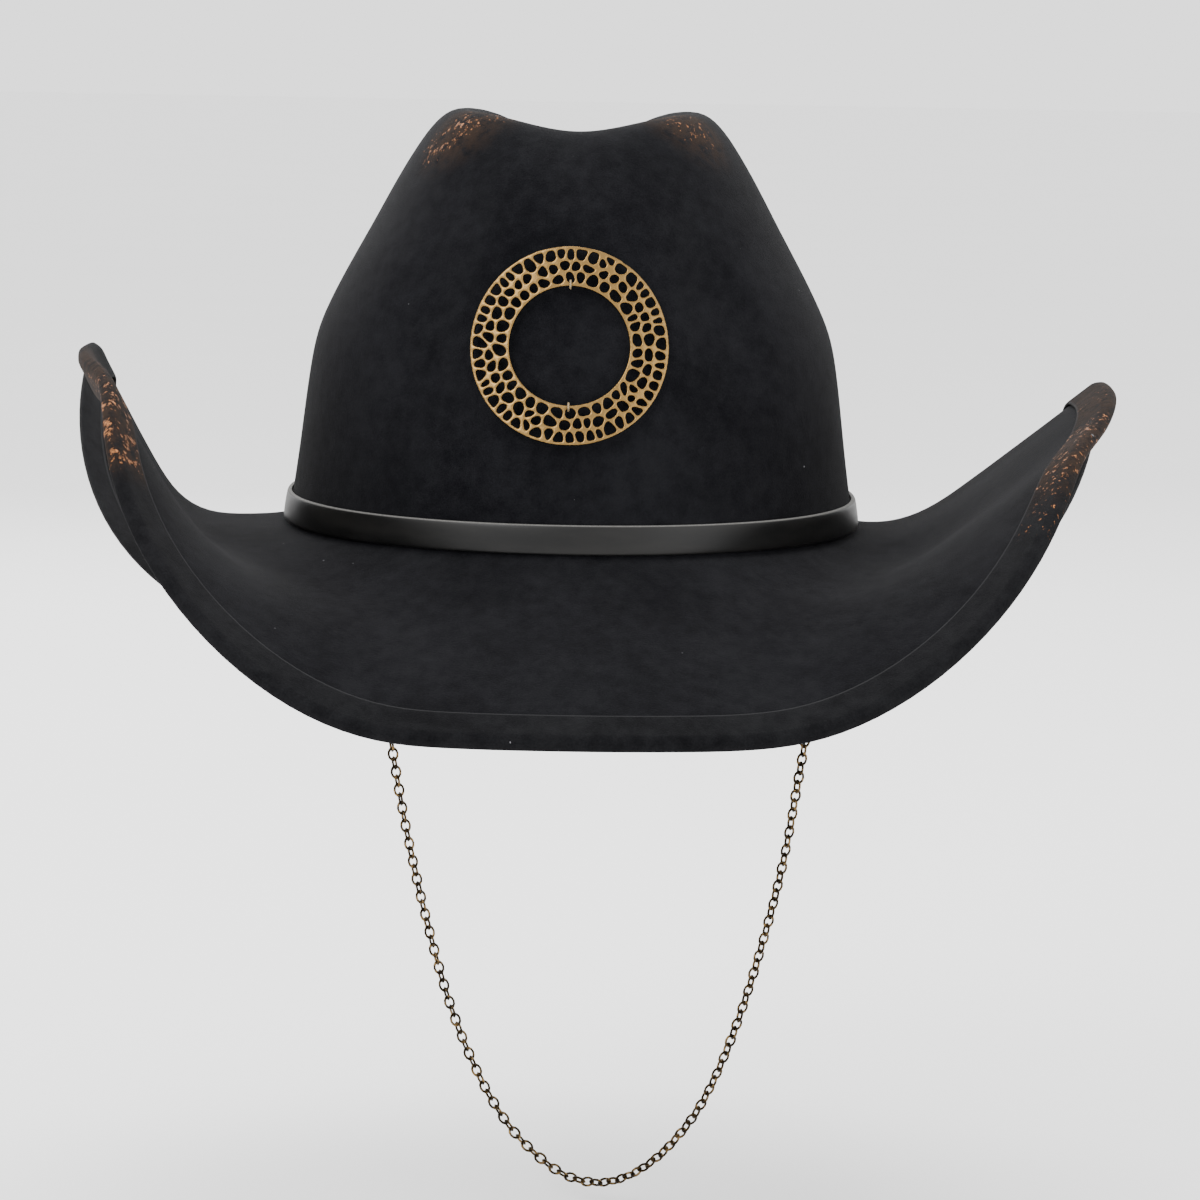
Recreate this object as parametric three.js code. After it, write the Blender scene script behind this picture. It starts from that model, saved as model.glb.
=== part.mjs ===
// A creased western hat of wool felt: its brim rolls up at both sides and dips at the front and back.
// A leather band runs round the foot of the crown, a pierced brass ring is sewn on the front, and a fine
// chain hangs under the brim as a chin strap.
// Millimetres. +Z is up, the front of the hat faces -Y, and the origin is the middle of the head opening,
// level with the underside of the felt where the crown turns out into the brim.
import * as THREE from 'three';

const { PI, abs, atan2, cos, exp, hypot, max, min, sin, sqrt } = Math;
const DEG = PI / 180;

// ---- driving sizes ----
const HEAD_WIDTH = 166; // inside the sweatband, side to side, for a head of about 58 cm
const HEAD_LENGTH = 200; // inside the sweatband, front to back
const CROWN_HEIGHT = 128; // from the top of the brim to the top of the side ridges
const BRIM_WIDTH = 92; // along the felt from the crown to the bound edge, at the sides and back
const BRIM_WIDTH_FRONT = 86;
const FELT = 2.6; // thickness of the felt
const GAP = 0.3; // air between pieces that touch
const TURN_RADIUS = 1.5; // where the crown turns out into the brim
const AROUND = 60; // steps round the hat
const THIN_WIRE_SIDES = 5; // flats round the edge wire and the reed

// Each wing is a side of the brim turned up by its roll, over a bend between two shares of the brim's width.
// Angles are counted from the middle of the side: the roll is full up to one and gone at another, and the
// foot of the brim has its whole dip at a third.
const WINGS = {
  left: {
    roll: 63 * DEG, bendStart: 0.24, bendEnd: 0.475, full: 23.5 * DEG, gone: 74 * DEG, dipped: 74 * DEG,
  },
  right: {
    roll: 38.5 * DEG, bendStart: 0.055, bendEnd: 0.33, full: 24.5 * DEG, gone: 71 * DEG, dipped: 28 * DEG,
  },
};
const WINGS_BEHIND = { full: 5.5 * DEG, gone: 53.5 * DEG, dipped: 32 * DEG };
const DIP_START = 6 * DEG; // where the foot of the brim starts to dip
const DIP_FRONT = { foot: -31 * DEG, edge: -28 * DEG }; // slope at the crown and at the edge
const DIP_BACK = { foot: -35 * DEG, edge: -33.5 * DEG };

// The crown's shape: loops from its foot up over the side ridges and down into the crease.
// rise: share of CROWN_HEIGHT at the side, front and back. inset: millimetres in from the foot.
// square: 2 is an ellipse, and larger numbers are squarer.
const FOOT_RISE = TURN_RADIUS / CROWN_HEIGHT;
const CROWN_LOOPS = [
  { rise: [FOOT_RISE, FOOT_RISE, FOOT_RISE], inset: [0, 0, 0], square: 2.1 },
  { rise: [0.195, 0.195, 0.195], inset: [3.4, 2.5, 2.5], square: 2.25 },
  { rise: [0.385, 0.4, 0.4], inset: [6.5, 6.5, 6], square: 2.45 },
  { rise: [0.5, 0.6, 0.62], inset: [10, 12, 10], square: 2.5 },
  { rise: [0.72, 0.77, 0.79], inset: [25, 20, 17], square: 2.5 },
  { rise: [0.91, 0.885, 0.865], inset: [38.5, 32, 28], square: 2.6 },
  { rise: [1, 0.955, 0.9], inset: [49.5, 47, 42], square: 2.8 },
  { rise: [0.955, 0.93, 0.885], inset: [64, 64, 59], square: 2.8 },
  { rise: [0.885, 0.88, 0.89], inset: [78, 84, 82], square: 2.5 },
];
const CREASE_FLOOR = 0.87; // share of CROWN_HEIGHT at the middle of the crease
const ROWS_PER_LOOP = 2;
// The two front dents. They fade out round their middle, and stop short of the crown's axis.
const PINCH = { depth: 5, angle: 32 * DEG, spread: 9 * DEG, height: 70, reach: 30, stop: 1 };

// Leather band round the crown's foot, and the loop over its joint at the back.
const BAND = { height: 8.6, thick: 1.6, lift: 1.7, jointGap: 0.6 };
const KEEPER = { width: 12, thick: 1, room: 0.4, lip: 1 };

// Sweatband, the reed along its lower edge, and the bow at its back seam.
const SWEAT = { height: 32, thick: 1.1, room: 0.4, foot: 1.6, rows: 3 };
const REED_RADIUS = 0.9;
const BOW = {
  width: 20, height: 8, knot: 4, waist: 2.6, bulge: 1, thick: 1.2, level: 12, room: 0.5, arcSteps: 4,
};

// The strip that wraps the brim's edge, and the wire in its fold.
const BINDING = { depth: 13, thick: 1, noseOffset: 0.8, noseSteps: 3, rows: 3 };
const EDGE_WIRE_RADIUS = 0.8;

// Pierced ring on the front of the crown, bent to the crown's curve, and the thread loops that hold it.
const RING = {
  outer: 28.9, inner: 17.3, thick: 1.3, rim: 0.9, strut: 0.8, level: 60.5, across: -1.5, bend: 80, sides: 72,
};
const RING_ROWS = [34, 40, 54]; // open cells in each row, from the inside out
const RING_STRAY = { around: 0.75, outward: 0.45, seed: 11 }; // how far a cell strays, as shares of its size
const STITCH = { radius: 0.35, arcSteps: 6, sides: 6 };

// The chain's hangers: a folded leather tab, a D ring in its fold and a jump ring on that.
const TAB = { width: 8, thick: 1.8, top: 13, drop: 6.5, wall: 0.95, arcSteps: 8 };
const D_RING = { wire: 0.7, side: 2.9, corner: 1.3, arcSteps: 10, cornerSteps: 3, sides: 6 };
const JUMP_RING = { wire: 0.4, inner: 1.9, steps: 16, sides: 6 };
const HANGER_TURNS = { right: 2 * DEG, left: 143 * DEG };

// Chin chain: points along its middle, chosen by hand, and its width over the links.
const CHAIN_DIAMETER = 3.7;
const CHAIN_SIDES = 8;
const CHAIN_STEPS = 48;
const CHAIN_POINTS = [
  [80.5, 3.5, -18.5], [78.5, 4, -34.5], [76, 5, -53.5], [72.5, 6.5, -78], [68.5, 8, -104],
  [62, 10.5, -133], [54, 14, -161], [45, 17.5, -183.5], [35.5, 21, -198], [26.5, 24.5, -207],
  [18, 28, -212], [10, 31, -213.5], [1.5, 34.5, -212], [-7, 38, -207], [-16.5, 41.5, -198],
  [-26, 45, -183.5], [-36, 49, -161], [-44.5, 52.5, -133], [-51.5, 55, -104], [-56.5, 57, -78],
  [-60.5, 58.5, -53.5], [-63.5, 60, -34.5], [-65.5, 60.5, -18.5],
];

// ---- materials ----
const felt = new THREE.MeshStandardMaterial({ color: 0x222327, roughness: 0.95, metalness: 0 });
const feltEdge = new THREE.MeshStandardMaterial({ color: 0x1d1d20, roughness: 0.95, metalness: 0 });
const strapLeather = new THREE.MeshStandardMaterial({ color: 0x17171a, roughness: 0.35, metalness: 0 });
const sweatLeather = new THREE.MeshStandardMaterial({ color: 0x1b1918, roughness: 0.6, metalness: 0 });
const brass = new THREE.MeshStandardMaterial({ color: 0xa9793a, roughness: 0.35, metalness: 1 });
const darkBrass = new THREE.MeshStandardMaterial({ color: 0x6b5330, roughness: 0.4, metalness: 1 });
const thread = new THREE.MeshStandardMaterial({ color: 0x2a2622, roughness: 0.8, metalness: 0 });
const steel = new THREE.MeshStandardMaterial({ color: 0x8b8d90, roughness: 0.4, metalness: 1 });
const plastic = new THREE.MeshStandardMaterial({ color: 0x202022, roughness: 0.5, metalness: 0 });
const ribbon = new THREE.MeshStandardMaterial({ color: 0x141416, roughness: 0.5, metalness: 0 });

const UP = new THREE.Vector3(0, 0, 1);
const hat = new THREE.Group();

function addPiece(name, geometry, material, parent = hat) {
  const mesh = new THREE.Mesh(geometry, material);
  mesh.name = name;
  parent.add(mesh);
  return mesh;
}

// ---- mesh helpers ----
function meshFrom(points, triangles) {
  const geometry = new THREE.BufferGeometry();
  const flat = points.flatMap((p) => [p.x, p.y, p.z]);
  geometry.setAttribute('position', new THREE.Float32BufferAttribute(flat, 3));
  geometry.setIndex(triangles);
  geometry.computeVertexNormals();
  return geometry;
}

// Joins sections of equal length in order: round on themselves, or with a flat cap at each end.
function sweep(sections, closed) {
  const size = sections[0].length;
  const triangles = [];
  const spans = closed ? sections.length : sections.length - 1;
  for (let i = 0; i < spans; i += 1) {
    const here = i * size;
    const next = ((i + 1) % sections.length) * size;
    for (let j = 0; j < size; j += 1) {
      const k = (j + 1) % size;
      triangles.push(here + j, next + j, next + k, here + j, next + k, here + k);
    }
  }
  if (!closed) {
    const last = (sections.length - 1) * size;
    for (const [a, b, c] of capTriangles(sections[0])) {
      triangles.push(a, b, c);
      triangles.push(last + a, last + c, last + b);
    }
  }
  return meshFrom(sections.flat(), triangles);
}

// Triangles over a flat section, in the section's own turning direction.
function capTriangles(section) {
  const [origin] = section;
  const along = section[1].clone().sub(origin).normalize();
  const normal = new THREE.Vector3();
  for (let j = 1; j + 1 < section.length; j += 1) {
    const a = section[j].clone().sub(origin);
    const b = section[j + 1].clone().sub(origin);
    normal.add(a.cross(b));
  }
  const across = normal.normalize().cross(along);
  const flat = section.map((p) => {
    const d = p.clone().sub(origin);
    return new THREE.Vector2(d.dot(along), d.dot(across));
  });
  return THREE.ShapeUtils.triangulateShape(flat, []);
}

// A round section of the given radius about a point, in the plane of two unit directions.
function roundSection(centre, radius, sideways, upwards, sides) {
  return Array.from({ length: sides }, (_, j) => {
    const turn = (2 * PI * j) / sides;
    const spot = centre.clone().addScaledVector(sideways, radius * cos(turn));
    return spot.addScaledVector(upwards, radius * sin(turn));
  });
}

const smooth = (t) => {
  const c = min(1, max(0, t));
  return c * c * (3 - 2 * c);
};
const mix = (a, b, t) => a + (b - a) * t;
const turnAt = (i) => (2 * PI * i) / AROUND;

// ---- the head oval and the crown ----
const WALL = FELT + SWEAT.room + SWEAT.thick; // from the head to the outside of the felt
const FOOT_SIDE = HEAD_WIDTH / 2 + WALL;
const FOOT_END = HEAD_LENGTH / 2 + WALL;

// A point on an oval: turn 0 is +X (right), 90 degrees is +Y (back).
function ovalPoint(turn, inset, square) {
  const [side, front, back] = inset;
  const c = cos(turn);
  const s = sin(turn);
  const grow = (abs(c) ** square + abs(s) ** square) ** (-1 / square);
  const end = FOOT_END - (s < 0 ? front : back);
  return new THREE.Vector3((FOOT_SIDE - side) * c * grow, end * s * grow, 0);
}

function loopPoint(loop, turn) {
  const p = ovalPoint(turn, loop.inset, loop.square);
  const sideways = abs(p.x) / (FOOT_SIDE - loop.inset[0]);
  const [side, front, back] = loop.rise;
  const share = mix(p.y < 0 ? front : back, side, smooth(sideways));
  p.z = FELT + CROWN_HEIGHT * share;
  return p;
}

// The two front dents push the felt in, to either side of the middle of the front.
function pinchPush(turn, height) {
  const fromFront = abs(abs(atan2(cos(turn), -sin(turn))) - PINCH.angle);
  const around = exp(-((fromFront / PINCH.spread) ** 2));
  const upward = exp(-(((height - PINCH.height) / PINCH.reach) ** 2));
  return PINCH.depth * around * upward;
}

function crownCurve(turn) {
  const points = CROWN_LOOPS.map((loop) => loopPoint(loop, turn));
  points.push(new THREE.Vector3(0, 0, FELT + CROWN_HEIGHT * CREASE_FLOOR));
  return new THREE.CatmullRomCurve3(points, false, 'centripetal');
}

function crownPoint(turn, t) {
  const p = crownCurve(turn).getPoint(t);
  const reach = hypot(p.x, p.y);
  const push = reach > PINCH.stop ? pinchPush(turn, p.z) / reach : 0;
  return new THREE.Vector3(p.x * (1 - push), p.y * (1 - push), p.z);
}

// The crown wall's outside point at a height, found by halving.
const WALL_TOP = 4 / CROWN_LOOPS.length;
const HALVINGS = 24;
function wallPoint(turn, height) {
  let low = 0;
  let high = WALL_TOP;
  for (let i = 0; i < HALVINGS; i += 1) {
    const middle = (low + high) / 2;
    if (crownPoint(turn, middle).z < height) low = middle;
    else high = middle;
  }
  return crownPoint(turn, low);
}

// ---- the brim ----
const FOOT_INSET = CROWN_LOOPS[0].inset;
const FOOT_SQUARE = CROWN_LOOPS[0].square;

const SLOPE_STEP = 0.01; // a small step of turn or distance, to measure a slope over

function outwardAt(turn) {
  const before = ovalPoint(turn - SLOPE_STEP, FOOT_INSET, FOOT_SQUARE);
  const after = ovalPoint(turn + SLOPE_STEP, FOOT_INSET, FOOT_SQUARE);
  const tangent = after.sub(before).normalize();
  return new THREE.Vector3(tangent.y, -tangent.x, 0);
}

// How steeply the brim climbs at a share of its width out from the crown.
function climbAt(turn, share) {
  const fromSide = abs(atan2(abs(sin(turn)), abs(cos(turn))));
  const { left, right } = WINGS;
  const wing = cos(turn) > 0 ? right : left;
  const front = sin(turn) < 0;
  const dip = front ? DIP_FRONT : DIP_BACK;
  const { full, gone, dipped } = front ? wing : WINGS_BEHIND;
  const foot = mix(0, dip.foot, smooth((fromSide - DIP_START) / (dipped - DIP_START)));
  const edge = mix(wing.roll, dip.edge, smooth((fromSide - full) / (gone - full)));
  const toRight = (1 + cos(turn)) / 2;
  const bendStart = mix(left.bendStart, right.bendStart, toRight);
  const bendEnd = mix(left.bendEnd, right.bendEnd, toRight);
  return mix(foot, edge, smooth((share - bendStart) / (bendEnd - bendStart)));
}

// Distances out over the brim are those of its widest part, and the front's are shortened to match.
const CLIMB_STEPS = 40;
function brimPoint(turn, distance) {
  const outward = outwardAt(turn);
  const p = ovalPoint(turn, FOOT_INSET, FOOT_SQUARE).addScaledVector(outward, TURN_RADIUS);
  p.z = FELT;
  const narrow = sin(turn) < 0 ? sin(turn) ** 2 : 0;
  const step = (distance / CLIMB_STEPS) * mix(1, BRIM_WIDTH_FRONT / BRIM_WIDTH, narrow);
  for (let i = 0; i < CLIMB_STEPS; i += 1) {
    const climb = climbAt(turn, (distance / BRIM_WIDTH) * ((i + 0.5) / CLIMB_STEPS));
    p.addScaledVector(outward, cos(climb) * step);
    p.z += sin(climb) * step;
  }
  return p;
}

// The brim's upper normal, and the direction out across its edge.
function brimFrame(turn, distance) {
  const step = SLOPE_STEP;
  const along = brimPoint(turn + step, distance).sub(brimPoint(turn - step, distance)).normalize();
  const out = brimPoint(turn, distance + step).sub(brimPoint(turn, distance - step)).normalize();
  const normal = out.clone().cross(along).normalize();
  return { point: brimPoint(turn, distance), normal, out: along.clone().cross(normal).normalize() };
}

// ---- felt body ----
const FELT_EDGE = BRIM_WIDTH - BINDING.noseOffset - BINDING.thick - GAP - FELT / 2;
const BINDING_START = BRIM_WIDTH - BINDING.depth;
const STRIP_DISTANCES = Array.from({ length: BINDING.rows + 1 }, (_, k) => (
  mix(BINDING_START, FELT_EDGE, k / BINDING.rows)
));
const BRIM_ROWS = 6;
const TURN_ROWS = 2;

// The outer skin down one side: crease, ridge, wall, turn and brim. The crown's middle point is left out.
function outerColumn(turn) {
  const column = [];
  const crownRows = CROWN_LOOPS.length * ROWS_PER_LOOP;
  for (let i = crownRows - 1; i >= 0; i -= 1) column.push(crownPoint(turn, i / crownRows));
  const outward = outwardAt(turn);
  const foot = ovalPoint(turn, FOOT_INSET, FOOT_SQUARE);
  for (let i = 1; i < TURN_ROWS; i += 1) {
    const bend = (PI / 2) * (i / TURN_ROWS);
    const p = foot.clone().addScaledVector(outward, TURN_RADIUS * (1 - cos(bend)));
    p.z = FELT + TURN_RADIUS * (1 - sin(bend));
    column.push(p);
  }
  for (let i = 0; i < BRIM_ROWS; i += 1) column.push(brimPoint(turn, (BINDING_START * i) / BRIM_ROWS));
  for (const distance of STRIP_DISTANCES) column.push(brimPoint(turn, distance));
  return column;
}

// Normals of a grid whose columns run round the hat and whose rows run outwards.
function gridNormals(columns) {
  const count = columns.length;
  return columns.map((column, i) => column.map((p, j) => {
    const around = columns[(i + 1) % count][j].clone().sub(columns[(i + count - 1) % count][j]);
    const above = column[max(0, j - 1)];
    const below = column[min(column.length - 1, j + 1)];
    return below.clone().sub(above).cross(around).normalize();
  }));
}

function feltBody() {
  const outer = Array.from({ length: AROUND }, (_, i) => outerColumn(turnAt(i)));
  const normals = gridNormals(outer);
  const rows = outer[0].length;
  const inner = outer.map((column, i) => column.map((p, j) => p.clone().addScaledVector(normals[i][j], -FELT)));
  const top = new THREE.Vector3(0, 0, FELT + CROWN_HEIGHT * CREASE_FLOOR);
  const points = [...outer.flat(), ...inner.flat(), top, top.clone().setZ(top.z - FELT)];
  const inside = AROUND * rows;
  const [outerTop, innerTop] = [2 * inside, 2 * inside + 1];
  const triangles = [];
  for (let i = 0; i < AROUND; i += 1) {
    const here = i * rows;
    const next = ((i + 1) % AROUND) * rows;
    for (let j = 0; j + 1 < rows; j += 1) {
      triangles.push(here + j, here + j + 1, next + j + 1, here + j, next + j + 1, next + j);
      const [a, b] = [inside + here + j, inside + next + j];
      triangles.push(a, b + 1, a + 1, a, b, b + 1);
    }
    const [edge, edgeNext] = [here + rows - 1, next + rows - 1];
    triangles.push(edge, inside + edge, inside + edgeNext, edge, inside + edgeNext, edgeNext);
    triangles.push(outerTop, here, next, innerTop, inside + next, inside + here);
  }
  return meshFrom(points, triangles);
}

addPiece('felt_body', feltBody(), felt);

// ---- brim binding and edge wire ----
// Heights in a section are measured from the middle of the felt, along the brim's normal.
function brimSpot(turn, distance, height) {
  const { point, normal, out } = brimFrame(turn, min(distance, FELT_EDGE));
  const beyond = max(0, distance - FELT_EDGE);
  return point.addScaledVector(normal, height - FELT / 2).addScaledVector(out, beyond);
}

function bindingSection(turn) {
  const low = FELT / 2 + GAP;
  const high = low + BINDING.thick;
  const nose = FELT_EDGE + BINDING.noseOffset;
  const inwards = STRIP_DISTANCES.toReversed();
  const section = STRIP_DISTANCES.map((d) => brimSpot(turn, d, high));
  const bends = Array.from({ length: BINDING.noseSteps + 1 }, (_, k) => (PI * k) / BINDING.noseSteps);
  for (const bend of bends) section.push(brimSpot(turn, nose + high * sin(bend), high * cos(bend)));
  for (const d of inwards) section.push(brimSpot(turn, d, -high));
  for (const d of STRIP_DISTANCES) section.push(brimSpot(turn, d, -low));
  for (const bend of bends.toReversed()) section.push(brimSpot(turn, nose + low * sin(bend), low * cos(bend)));
  for (const d of inwards) section.push(brimSpot(turn, d, low));
  return section.reverse();
}

function edgeWireSection(turn) {
  const { point, normal, out } = brimFrame(turn, FELT_EDGE);
  const centre = point.addScaledVector(normal, -FELT / 2).addScaledVector(out, GAP + EDGE_WIRE_RADIUS);
  return roundSection(centre, EDGE_WIRE_RADIUS, out, normal, THIN_WIRE_SIDES);
}

const turns = Array.from({ length: AROUND }, (_, i) => turnAt(i));
addPiece('brim_binding', sweep(turns.map(bindingSection), true), feltEdge);
addPiece('brim_wire', sweep(turns.map(edgeWireSection), true), steel);

// ---- leather band and keeper ----
// A section that stands on the crown's wall: distances out from the felt, at heights above the brim.
function wallSection(turn, corners) {
  return corners.map(([distance, level]) => {
    const p = wallPoint(turn, FELT + level);
    return p.addScaledVector(outwardAt(turn), distance);
  });
}

const BACK_TURN = 90 * DEG;
function hatband() {
  const [low, high] = [BAND.lift, BAND.lift + BAND.height];
  const [near, far] = [GAP, GAP + BAND.thick];
  const edge = BAND.thick / 2;
  const corners = [
    [near, low], [far - edge / 2, low], [far, low + edge],
    [far, high - edge], [far - edge / 2, high], [near, high],
  ];
  const halfJoint = BAND.jointGap / 2 / FOOT_END;
  const sections = Array.from({ length: AROUND + 1 }, (_, i) => {
    const turn = BACK_TURN + min(max(turnAt(i), halfJoint), 2 * PI - halfJoint);
    return wallSection(turn, corners);
  });
  return sweep(sections, false);
}

// The loop over the band's joint: a C section run straight across the back.
function hatbandKeeper() {
  const level = FELT + BAND.lift;
  const foot = wallPoint(BACK_TURN, level).y;
  const top = wallPoint(BACK_TURN, level + BAND.height).y;
  const room = GAP + BAND.thick + KEEPER.room;
  const [low, high] = [level - KEEPER.room, level + BAND.height + KEEPER.room];
  const outline = [
    [foot + room - KEEPER.lip, low], [foot + room, low], [top + room, high], [top + room - KEEPER.lip, high],
    [top + room - KEEPER.lip, high + KEEPER.thick], [top + room + KEEPER.thick, high + KEEPER.thick],
    [foot + room + KEEPER.thick, low - KEEPER.thick], [foot + room - KEEPER.lip, low - KEEPER.thick],
  ];
  const sections = [-KEEPER.width / 2, KEEPER.width / 2].map((x) => (
    outline.map(([y, z]) => new THREE.Vector3(x, y, z))
  ));
  return sweep(sections, false);
}

addPiece('hatband', hatband(), strapLeather);
addPiece('hatband_keeper', hatbandKeeper(), strapLeather);

// ---- sweatband, reed and bow ----
const SWEAT_OUTSIDE = -(FELT + SWEAT.room); // measured out from the felt's outside

function sweatSection(turn) {
  const levels = Array.from({ length: SWEAT.rows + 1 }, (_, k) => SWEAT.foot + (SWEAT.height * k) / SWEAT.rows);
  const outside = levels.map((level) => [SWEAT_OUTSIDE, level]);
  const inside = levels.toReversed().map((level) => [SWEAT_OUTSIDE - SWEAT.thick, level]);
  const corners = [...inside, ...outside];
  return corners.map(([distance, level]) => sweatPoint(turn, distance, level));
}

// How far the head oval curves away over half the width of a straight piece.
const ovalSag = (width) => (width / 2) ** 2 / HEAD_WIDTH;

// Below the crown's foot the sweatband hangs straight down.
function sweatPoint(turn, distance, level) {
  const lowest = FELT + CROWN_HEIGHT * CROWN_LOOPS[0].rise[0];
  const p = wallPoint(turn, max(level, lowest)).addScaledVector(outwardAt(turn), distance);
  return p.setZ(level);
}

function reedSection(turn) {
  const level = SWEAT.foot - GAP - REED_RADIUS;
  const centre = sweatPoint(turn, SWEAT_OUTSIDE - SWEAT.thick / 2, level);
  return roundSection(centre, REED_RADIUS, outwardAt(turn), UP, THIN_WIRE_SIDES);
}

function sweatbandBow() {
  const outline = new THREE.Shape();
  const { width, height, knot, waist, bulge, thick, arcSteps } = BOW;
  outline.moveTo(-width / 2, -height / 2);
  outline.lineTo(-knot / 2, -waist / 2);
  outline.lineTo(-knot / 2, -waist);
  outline.lineTo(knot / 2, -waist);
  outline.lineTo(knot / 2, -waist / 2);
  outline.lineTo(width / 2, -height / 2);
  outline.quadraticCurveTo(width / 2 + bulge, 0, width / 2, height / 2);
  outline.lineTo(knot / 2, waist / 2);
  outline.lineTo(knot / 2, waist);
  outline.lineTo(-knot / 2, waist);
  outline.lineTo(-knot / 2, waist / 2);
  outline.lineTo(-width / 2, height / 2);
  outline.quadraticCurveTo(-width / 2 - bulge, 0, -width / 2, -height / 2);
  return new THREE.ExtrudeGeometry(outline, { depth: thick, bevelEnabled: false, curveSegments: arcSteps });
}

addPiece('sweatband', sweep(turns.map(sweatSection), true), sweatLeather);
addPiece('sweatband_reed', sweep(turns.map(reedSection), true), plastic);

// The bow leans as the sweatband leans behind it.
const bowGroup = new THREE.Group();
const [bowFoot, bowMiddle, bowTop] = [-BOW.height / 2, 0, BOW.height / 2].map((height) => (
  sweatPoint(BACK_TURN, SWEAT_OUTSIDE - SWEAT.thick, BOW.level + height)
));
bowGroup.position.copy(bowMiddle).add(new THREE.Vector3(0, -BOW.room - ovalSag(BOW.width), 0));
bowGroup.rotation.x = PI / 2 + atan2(bowFoot.y - bowTop.y, BOW.height);
hat.add(bowGroup);
addPiece('sweatband_bow', sweatbandBow(), ribbon, bowGroup);

// ---- pierced ring and its two stitches ----
const FRONT_TURN = 270 * DEG;
// Where the felt under the ring is measured: a little past the ring, and in small steps.
const RING_REACH = { turn: 30 * DEG, turnStep: 1.5 * DEG, heightStep: 2, margin: 1 };

// The ring's own frame: on the middle of the front, leaning as the felt leans. Its x is sideways, its y
// up the crown and its z away from the felt, with z = 0 on the ring's back.
function ringFrame() {
  const low = wallPoint(FRONT_TURN, FELT + RING.level - RING.outer);
  const high = wallPoint(FRONT_TURN, FELT + RING.level + RING.outer);
  const sideways = new THREE.Vector3(1, 0, 0);
  const upward = high.clone().sub(low).normalize();
  const outward = sideways.clone().cross(upward);
  const middle = low.clone().add(high).multiplyScalar(0.5);
  middle.x = RING.across;
  middle.addScaledVector(outward, feltRise(middle, upward, outward) + GAP);
  return new THREE.Matrix4().makeBasis(sideways, upward, outward).setPosition(middle);
}

// The felt's greatest rise through the bent sheet the ring lies on.
function feltRise(middle, upward, outward) {
  let rise = -RING.bend;
  const { turn: reach, turnStep, heightStep, margin } = RING_REACH;
  for (let turn = FRONT_TURN - reach; turn <= FRONT_TURN + reach; turn += turnStep) {
    for (let height = -RING.outer; height <= RING.outer; height += heightStep) {
      const away = wallPoint(turn, FELT + RING.level + height).sub(middle);
      if (hypot(away.x, away.dot(upward)) > RING.outer + margin) continue;
      const sheet = sqrt(RING.bend ** 2 - away.x ** 2) - RING.bend;
      rise = max(rise, away.dot(outward) - sheet);
    }
  }
  return rise;
}

// Repeatable numbers from 0 to 1.
function shuffler(seed) {
  const [factor, limit] = [16807, 2147483647];
  let state = seed;
  return () => {
    state = (state * factor) % limit;
    return state / limit;
  };
}

// The cells' middles row by row. The inner row has one cell exactly at the top and one at the bottom.
function cellMiddles() {
  const random = shuffler(RING_STRAY.seed);
  const [low, high] = [RING.inner + RING.rim, RING.outer - RING.rim];
  const depth = (high - low) / RING_ROWS.length;
  return RING_ROWS.map((count, row) => Array.from({ length: count }, (_, k) => {
    const loose = row === 0 && k % (count / 2) === 0 ? 0 : 1;
    const around = k + loose * RING_STRAY.around * (random() - 0.5) + (row % 2) / 2;
    const outward = row + 0.5 + loose * RING_STRAY.outward * (random() - 0.5);
    const turn = PI / 2 + (2 * PI * around) / count;
    const radius = low + depth * outward;
    return { turn, radius };
  }));
}

const polar = ({ turn, radius }) => new THREE.Vector2(radius * cos(turn), radius * sin(turn));

// Keeps the part of a polygon that lies on the inner side of a line.
function clip(polygon, point, direction) {
  const kept = [];
  polygon.forEach((here, i) => {
    const next = polygon[(i + 1) % polygon.length];
    const a = here.clone().sub(point).dot(direction);
    const b = next.clone().sub(point).dot(direction);
    if (a <= 0) kept.push(here);
    if (a * b < 0) kept.push(here.clone().lerp(next, a / (a - b)));
  });
  return kept;
}

const RIM_CHORD = 2.5 * DEG;
const SHORTEST_SIDE = 0.6;
const CORNER_CUT = 0.28; // share of each side cut off at both its ends
const SMALLEST_OPENING = 0.8; // square millimetres: a smaller one fills with metal when the ring is cast

// Each opening is what lies nearer to its middle than to any other, less half a strut on every side.
function ringOpenings() {
  const rows = cellMiddles();
  const [low, high] = [RING.inner + RING.rim, RING.outer - RING.rim];
  const cells = rows.flat();
  return rows.flatMap((row, r) => row.map((cell) => {
    const here = polar(cell);
    const reach = RING.outer - RING.inner;
    const corners = [[-reach, -reach], [reach, -reach], [reach, reach], [-reach, reach]];
    let polygon = corners.map(([x, y]) => here.clone().add(new THREE.Vector2(x, y)));
    for (const other of cells) {
      if (other === cell) continue;
      const away = polar(other).sub(here);
      const direction = away.clone().normalize();
      const point = here.clone().addScaledVector(away, 0.5).addScaledVector(direction, -RING.strut / 2);
      polygon = clip(polygon, point, direction);
    }
    return clipToRims(polygon, cell.turn, r, low, high);
  }));
}

// Cuts an opening of the inner or outer row off at the rim, along short chords.
function clipToRims(polygon, turn, row, low, high) {
  let kept = polygon;
  const edges = [-RIM_CHORD, 0, RIM_CHORD];
  if (row === 0) kept = clip(kept, polar({ turn, radius: low }), polar({ turn, radius: -1 }));
  if (row === RING_ROWS.length - 1) {
    for (const edge of edges) {
      kept = clip(kept, polar({ turn: turn + edge, radius: high }), polar({ turn: turn + edge, radius: 1 }));
    }
  }
  return kept;
}

const withoutShortSides = (points) => (
  points.filter((p, i) => p.distanceTo(points[(i + 1) % points.length]) > SHORTEST_SIDE)
);

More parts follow.
